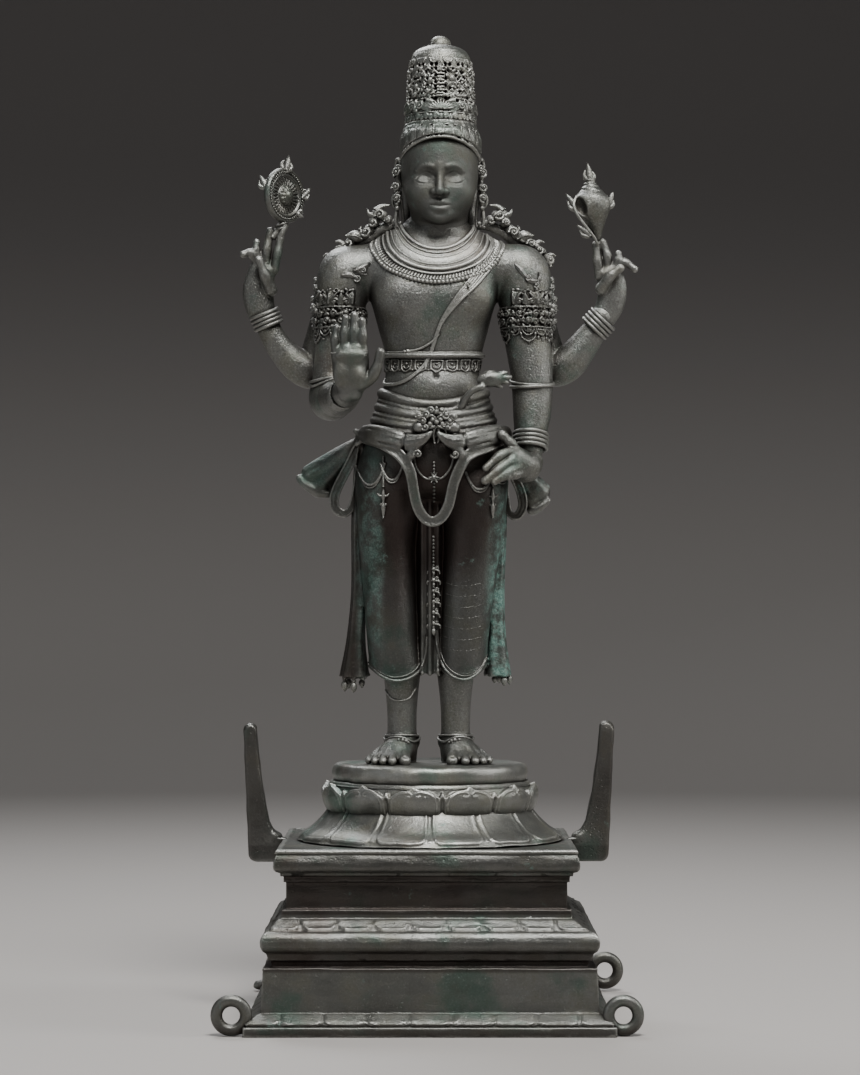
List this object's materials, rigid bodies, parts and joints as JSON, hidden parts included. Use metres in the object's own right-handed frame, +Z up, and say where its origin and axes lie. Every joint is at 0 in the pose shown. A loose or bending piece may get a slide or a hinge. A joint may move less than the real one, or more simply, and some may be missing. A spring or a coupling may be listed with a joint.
{
  "type": "vishnu figure",
  "caption": "Standing Vishnu in a tall crown, holding wheel and conch, on a round lotus set on a square moulded plinth with carrying rings and upright side prongs.",
  "frame": {"origin": "middle of the plinth's flat underside", "axes": "+Z up, the figure faces -Y, its own left hand side is +X"},
  "size_m": [0.3641, 0.31, 0.8558],
  "materials": {
    "figure_bronze": "old bronze, worn smooth on the high places, dark in the recesses, with green corrosion",
    "plinth_bronze": "old bronze, pitted, with reddish-brown recesses and green corrosion"
  },
  "bodies": {
    "root": {"vishnu_on_lotus": "figure_bronze", "square_plinth": "plinth_bronze"}
  },
  "joints": []
}
